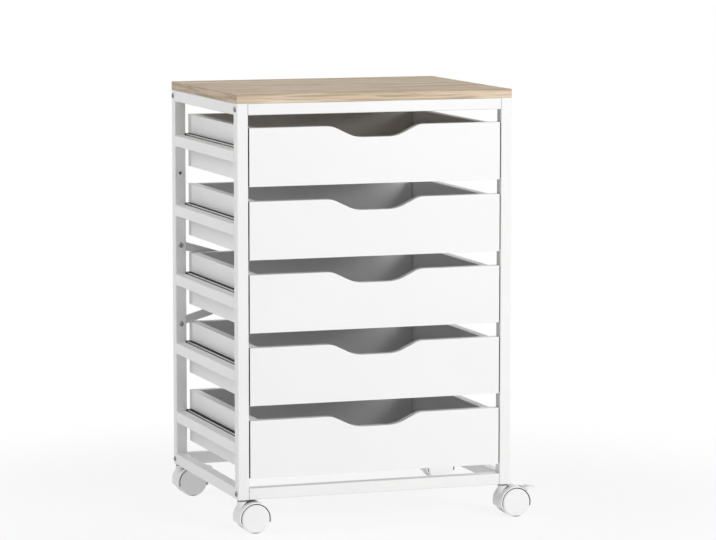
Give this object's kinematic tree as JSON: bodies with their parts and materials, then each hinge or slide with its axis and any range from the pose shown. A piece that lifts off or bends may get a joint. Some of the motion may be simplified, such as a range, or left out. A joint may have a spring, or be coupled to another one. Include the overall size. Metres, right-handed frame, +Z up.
{
  "type": "mobile pedestal",
  "caption": "Open steel-tube drawer unit on hooded twin-wheel casters, with scooped white drawers on ball-bearing slides and an oak-look top.",
  "frame": {"origin": "on the floor, under the centre of the tube frame", "axes": "+X right, +Y back, +Z up; the drawer fronts face -Y"},
  "size_m": [0.549, 0.424, 0.753],
  "materials": {
    "frame_paint": "satin white powder coat",
    "oak_board": "light oak effect, satin",
    "white_board": "white melamine, satin",
    "white_hardboard": "white-faced hardboard",
    "zinc_steel": "bright zinc",
    "white_plastic": "moulded",
    "wheel_plastic": "moulded"
  },
  "bodies": {
    "frame": {"top_board": "oak_board", "leg_front_left": "frame_paint", "leg_front_right": "frame_paint", "leg_rear_left": "frame_paint", "leg_rear_right": "frame_paint", "left_side_rails": "frame_paint", "right_side_rails": "frame_paint", "front_top_rail": "frame_paint", "front_bottom_rail": "frame_paint", "rear_top_rail": "frame_paint", "rear_bottom_rail": "frame_paint", "rear_brace_falling": "frame_paint", "rear_brace_rising": "frame_paint", "frame_bolts": "zinc_steel", "brace_bolts": "zinc_steel", "top_screws": "zinc_steel", "weld_nuts": "zinc_steel", "slide_channels": "zinc_steel", "caster_stems": "zinc_steel"},
    "drawer_1": {"drawer_1_front": "white_board", "drawer_1_sides": "white_board", "drawer_1_back": "white_board", "drawer_1_bottom": "white_hardboard", "drawer_1_slide_members": "zinc_steel"},
    "drawer_1_cages": {"drawer_1_ball_cages": "zinc_steel"},
    "drawer_2": {"drawer_2_front": "white_board", "drawer_2_sides": "white_board", "drawer_2_back": "white_board", "drawer_2_bottom": "white_hardboard", "drawer_2_slide_members": "zinc_steel"},
    "drawer_2_cages": {"drawer_2_ball_cages": "zinc_steel"},
    "drawer_3": {"drawer_3_front": "white_board", "drawer_3_sides": "white_board", "drawer_3_back": "white_board", "drawer_3_bottom": "white_hardboard", "drawer_3_slide_members": "zinc_steel"},
    "drawer_3_cages": {"drawer_3_ball_cages": "zinc_steel"},
    "drawer_4": {"drawer_4_front": "white_board", "drawer_4_sides": "white_board", "drawer_4_back": "white_board", "drawer_4_bottom": "white_hardboard", "drawer_4_slide_members": "zinc_steel"},
    "drawer_4_cages": {"drawer_4_ball_cages": "zinc_steel"},
    "drawer_5": {"drawer_5_front": "white_board", "drawer_5_sides": "white_board", "drawer_5_back": "white_board", "drawer_5_bottom": "white_hardboard", "drawer_5_slide_members": "zinc_steel"},
    "drawer_5_cages": {"drawer_5_ball_cages": "zinc_steel"},
    "caster_front_left": {"caster_front_left_hood": "white_plastic"},
    "caster_front_left_wheels": {"caster_front_left_wheelset": "wheel_plastic"},
    "caster_front_right": {"caster_front_right_hood": "white_plastic"},
    "caster_front_right_wheels": {"caster_front_right_wheelset": "wheel_plastic"},
    "caster_front_right_brake": {"caster_front_right_pedal": "white_plastic"},
    "caster_rear_left": {"caster_rear_left_hood": "white_plastic"},
    "caster_rear_left_wheels": {"caster_rear_left_wheelset": "wheel_plastic"},
    "caster_rear_left_brake": {"caster_rear_left_pedal": "white_plastic"},
    "caster_rear_right": {"caster_rear_right_hood": "white_plastic"},
    "caster_rear_right_wheels": {"caster_rear_right_wheelset": "wheel_plastic"}
  },
  "joints": [
    {"name": "drawer_1_slide", "type": "slide", "parent": "frame", "child": "drawer_1", "axis": [0, -1, 0], "range_m": [0, 0.262]},
    {"name": "drawer_1_cage_slide", "type": "slide", "parent": "frame", "child": "drawer_1_cages", "axis": [0, -1, 0], "range_m": [0, 0.131]},
    {"name": "drawer_2_slide", "type": "slide", "parent": "frame", "child": "drawer_2", "axis": [0, -1, 0], "range_m": [0, 0.262]},
    {"name": "drawer_2_cage_slide", "type": "slide", "parent": "frame", "child": "drawer_2_cages", "axis": [0, -1, 0], "range_m": [0, 0.131]},
    {"name": "drawer_3_slide", "type": "slide", "parent": "frame", "child": "drawer_3", "axis": [0, -1, 0], "range_m": [0, 0.262]},
    {"name": "drawer_3_cage_slide", "type": "slide", "parent": "frame", "child": "drawer_3_cages", "axis": [0, -1, 0], "range_m": [0, 0.131]},
    {"name": "drawer_4_slide", "type": "slide", "parent": "frame", "child": "drawer_4", "axis": [0, -1, 0], "range_m": [0, 0.262]},
    {"name": "drawer_4_cage_slide", "type": "slide", "parent": "frame", "child": "drawer_4_cages", "axis": [0, -1, 0], "range_m": [0, 0.131]},
    {"name": "drawer_5_slide", "type": "slide", "parent": "frame", "child": "drawer_5", "axis": [0, -1, 0], "range_m": [0, 0.262]},
    {"name": "drawer_5_cage_slide", "type": "slide", "parent": "frame", "child": "drawer_5_cages", "axis": [0, -1, 0], "range_m": [0, 0.131]},
    {"name": "caster_front_left_swivel", "type": "hinge", "parent": "frame", "child": "caster_front_left", "pos_m": [-0.24, -0.19, 0.045], "axis": [0, 0, 1], "continuous": true},
    {"name": "caster_front_left_roll", "type": "hinge", "parent": "caster_front_left", "child": "caster_front_left_wheels", "pos_m": [-0.222, -0.19, 0.025], "axis": [0, 1, 0], "continuous": true},
    {"name": "caster_front_right_swivel", "type": "hinge", "parent": "frame", "child": "caster_front_right", "pos_m": [0.24, -0.19, 0.045], "axis": [0, 0, 1], "continuous": true},
    {"name": "caster_front_right_roll", "type": "hinge", "parent": "caster_front_right", "child": "caster_front_right_wheels", "pos_m": [0.258, -0.19, 0.025], "axis": [0, 1, 0], "continuous": true},
    {"name": "caster_front_right_brake_pivot", "type": "hinge", "parent": "caster_front_right", "child": "caster_front_right_brake", "pos_m": [0.2765, -0.19, 0.0465], "axis": [0, 1, 0], "range_deg": [0, 8]},
    {"name": "caster_rear_left_swivel", "type": "hinge", "parent": "frame", "child": "caster_rear_left", "pos_m": [-0.24, 0.19, 0.045], "axis": [0, 0, 1], "continuous": true},
    {"name": "caster_rear_left_roll", "type": "hinge", "parent": "caster_rear_left", "child": "caster_rear_left_wheels", "pos_m": [-0.222, 0.19, 0.025], "axis": [0, 1, 0], "continuous": true},
    {"name": "caster_rear_left_brake_pivot", "type": "hinge", "parent": "caster_rear_left", "child": "caster_rear_left_brake", "pos_m": [-0.2035, 0.19, 0.0465], "axis": [0, 1, 0], "range_deg": [0, 8]},
    {"name": "caster_rear_right_swivel", "type": "hinge", "parent": "frame", "child": "caster_rear_right", "pos_m": [0.24, 0.19, 0.045], "axis": [0, 0, 1], "continuous": true},
    {"name": "caster_rear_right_roll", "type": "hinge", "parent": "caster_rear_right", "child": "caster_rear_right_wheels", "pos_m": [0.258, 0.19, 0.025], "axis": [0, 1, 0], "continuous": true}
  ],
  "couplings": [
    {"joint": "drawer_1_cage_slide", "follows": "drawer_1_slide", "ratio": 0.5},
    {"joint": "drawer_2_cage_slide", "follows": "drawer_2_slide", "ratio": 0.5},
    {"joint": "drawer_3_cage_slide", "follows": "drawer_3_slide", "ratio": 0.5},
    {"joint": "drawer_4_cage_slide", "follows": "drawer_4_slide", "ratio": 0.5},
    {"joint": "drawer_5_cage_slide", "follows": "drawer_5_slide", "ratio": 0.5}
  ]
}
